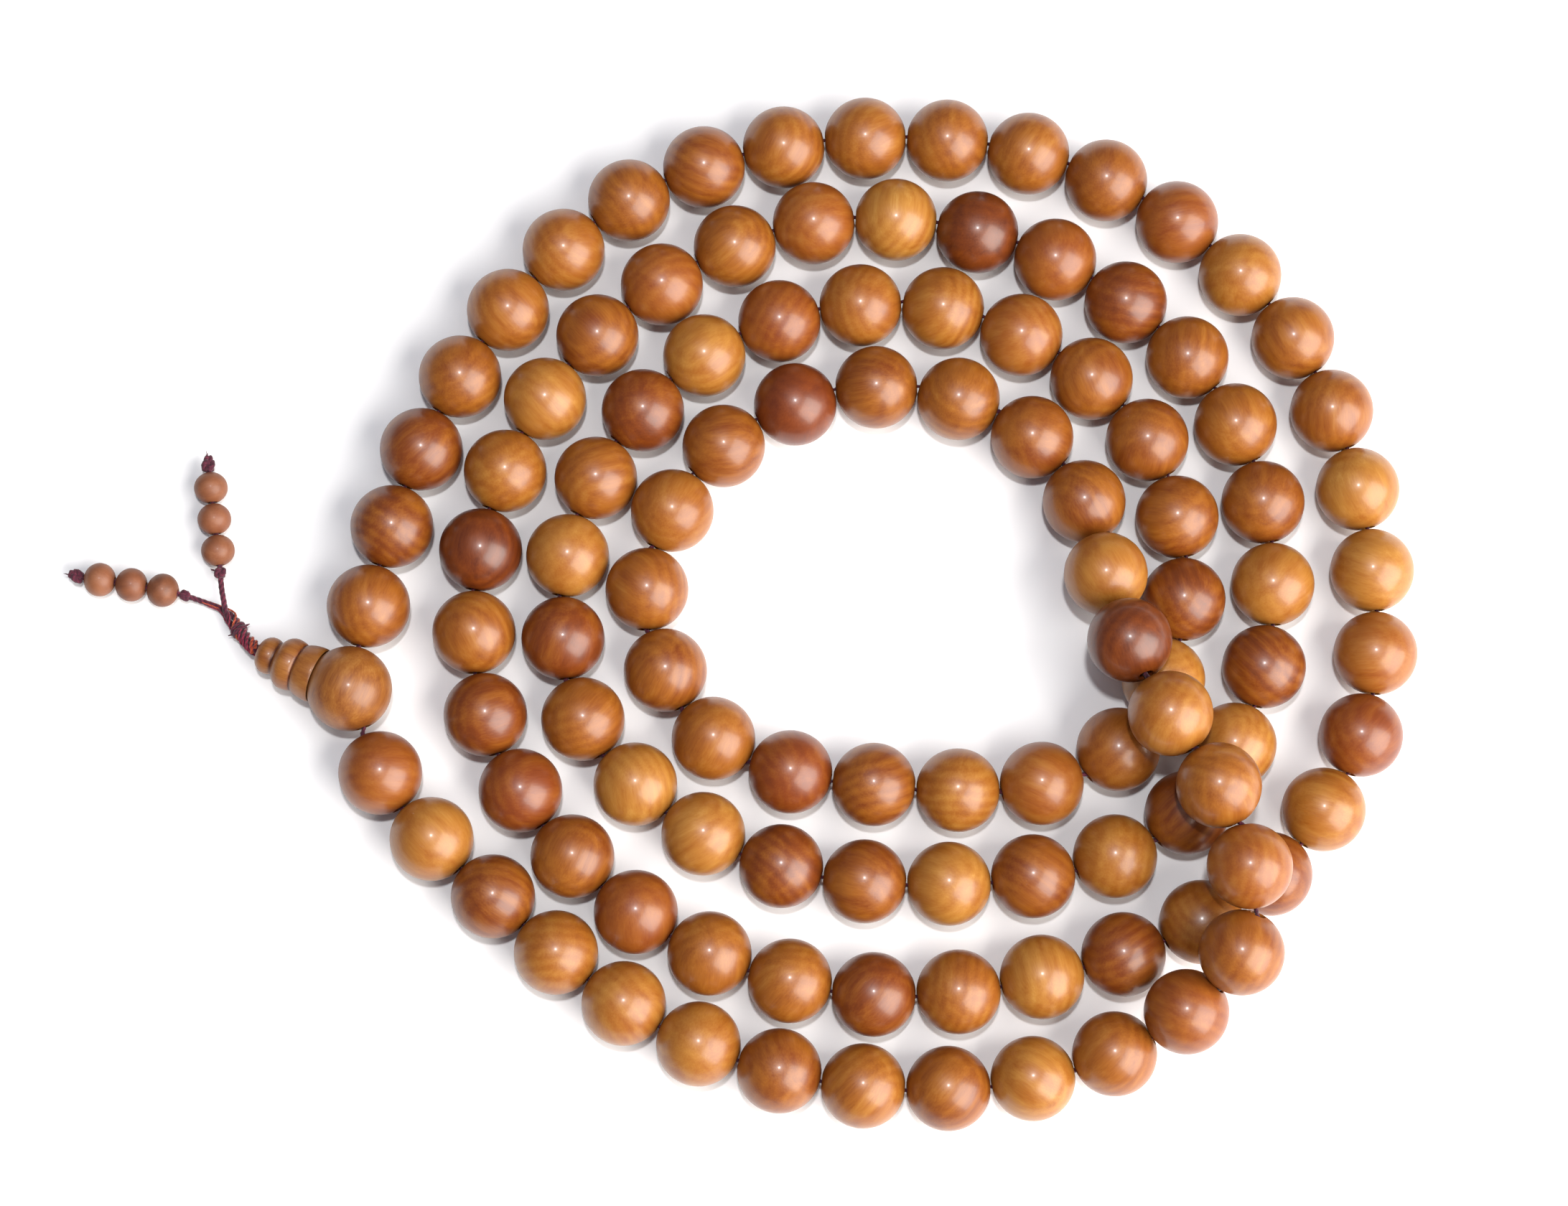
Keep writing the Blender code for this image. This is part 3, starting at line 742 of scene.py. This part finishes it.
# Distance from the guru bead's centre, and radius
TOWER_TURNING = ((5.78, 2.75), (5.0, 4.02), (5.12, 4.12), (5.4, 4.17), (6.0, 4.16), (6.6, 4.08), (7.2, 3.96),
                 (7.7, 3.8), (8.02, 3.64), (8.16, 3.46), (8.28, 3.46), (8.42, 3.64), (8.8, 3.78), (9.3, 3.88),
                 (9.8, 3.92), (10.3, 3.86), (10.75, 3.68), (11.15, 3.38), (11.45, 3.0), (11.7, 2.62),
                 (11.88, 2.42), (12.02, 2.42), (12.2, 2.56), (12.6, 2.71), (13.1, 2.78), (13.6, 2.73),
                 (14.0, 2.56), (14.35, 2.3), (14.6, 2.03), (14.7, 1.86),
                 (TOWER_LENGTH_FROM_GURU, TOWER_BORE_RADIUS),
                 (TOWER_DISH_TOP, TOWER_BORE_RADIUS))
TOWER_GROOVES = (8.22, 11.92)
TOWER_TONE = 0.53
GROOVE_PAINTED_SHADE = 0.42
GROOVE_SHADE_REACH = 0.16
select_none()
height, radius = TOWER_TURNING[0]
bpy.ops.mesh.primitive_circle_add(vertices=56, radius=radius * MM, location=(0.0, 0.0, height * MM))
tower = bpy.context.active_object
tower.name = "turned_tower"
bpy.ops.object.mode_set(mode="EDIT")
for (low, narrow), (high, wide) in zip(TOWER_TURNING, TOWER_TURNING[1:]):
    bpy.ops.mesh.extrude_region_move(TRANSFORM_OT_translate={"value": (0.0, 0.0, (high - low) * MM)})
    bpy.ops.transform.resize(value=(wide / narrow, wide / narrow, 1.0))
pick(tower, lambda place: False)
bpy.ops.mesh.select_mode(type="EDGE")
bpy.ops.mesh.select_non_manifold(extend=False)
bpy.ops.mesh.bridge_edge_loops()
bpy.ops.mesh.select_all(action="SELECT")
bpy.ops.mesh.normals_make_consistent(inside=False)
bpy.ops.object.mode_set(mode="OBJECT")
bpy.ops.object.transform_apply(location=True, rotation=True, scale=True)
bpy.ops.object.shade_smooth_by_angle(angle=math.radians(42))
# Painted shade: the tower's tone is darkened near each groove between the tiers.
tones = []
for vertex in tower.data.vertices:
    groove_shade = max(math.exp(-((vertex.co.z / MM - groove) / GROOVE_SHADE_REACH) ** 2) for groove in TOWER_GROOVES)
    tones.append(TOWER_TONE - GROOVE_PAINTED_SHADE * groove_shade)
set_grain(tower.data, tones, Quaternion((1.0, 0.0, 0.0), 0.12), Vector((8.0, 5.0, 0.0)), 0.1)
tower.data.transform(axis_frame(guru * MM, tower_axis))
tower.data.materials.append(guru_wood)
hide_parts("guru_tower")
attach(tower, "tower")

# ---------------------------------------------------------------------------------------------
# Table and light: a plain, nearly white sheet under even daylight, a broad soft window from the
# right and a little in front, and a small lamp above that leaves a point of light on each bead.
select_none()
bpy.ops.mesh.primitive_plane_add(size=6.0, location=(0.0, 0.0, 0.0))
table = bpy.context.active_object
table.name = "table"
sheet, tree, shader = new_finish("white_table", 0.7)
place = tree.node("ShaderNodeTexCoord", {}, {}, "Object")
mottle = tree.node("ShaderNodeTexNoise", {}, {"Vector": place, "Scale": 9.0, "Detail": 2.0}, "Fac")
colour = tree.node("ShaderNodeValToRGB", {"stops": ((0.0, (0.86, 0.865, 0.885)), (1.0, (0.90, 0.90, 0.915)))},
                   {"Fac": mottle}, "Color")
sheet.node_tree.links.new(colour.socket, shader.inputs["Base Color"])
shader.inputs["Specular IOR Level"].default_value = 0.15
table.data.materials.append(sheet)
table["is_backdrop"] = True


def hang_lamp(name, direction, distance, size, power, colour):
    """A square soft lamp that looks at the middle of the strand."""
    data = bpy.data.lights.new(name, "AREA")
    data.shape = "SQUARE"
    data.size = size
    data.energy = power
    data.color = colour
    lamp = bpy.data.objects.new(name, data)
    away = Vector(direction).normalized()
    lamp.location = LOOK_AT + away * distance
    lamp.rotation_euler = away.to_track_quat("Z", "Y").to_euler()
    bpy.context.collection.objects.link(lamp)


hang_lamp("window", (0.70, -0.36, 0.62), 0.9, 0.95, 23.5, (1.0, 0.96, 0.90))
hang_lamp("ceiling", (-0.1, 0.25, 1.0), 0.9, 0.7, 1.0, (0.88, 0.91, 1.0))
hang_lamp("small_lamp", (0.0, 0.05, 1.0), 0.75, 0.036, 2.5, (1.0, 1.0, 1.0))
sky = bpy.data.worlds.new("daylight")
sky.use_nodes = True
sky.node_tree.nodes["Background"].inputs["Color"].default_value = (0.80, 0.84, 1.0, 1.0)
sky.node_tree.nodes["Background"].inputs["Strength"].default_value = 0.16
bpy.context.scene.world = sky
bpy.context.scene.view_settings.view_transform = "Standard"

low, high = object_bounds()
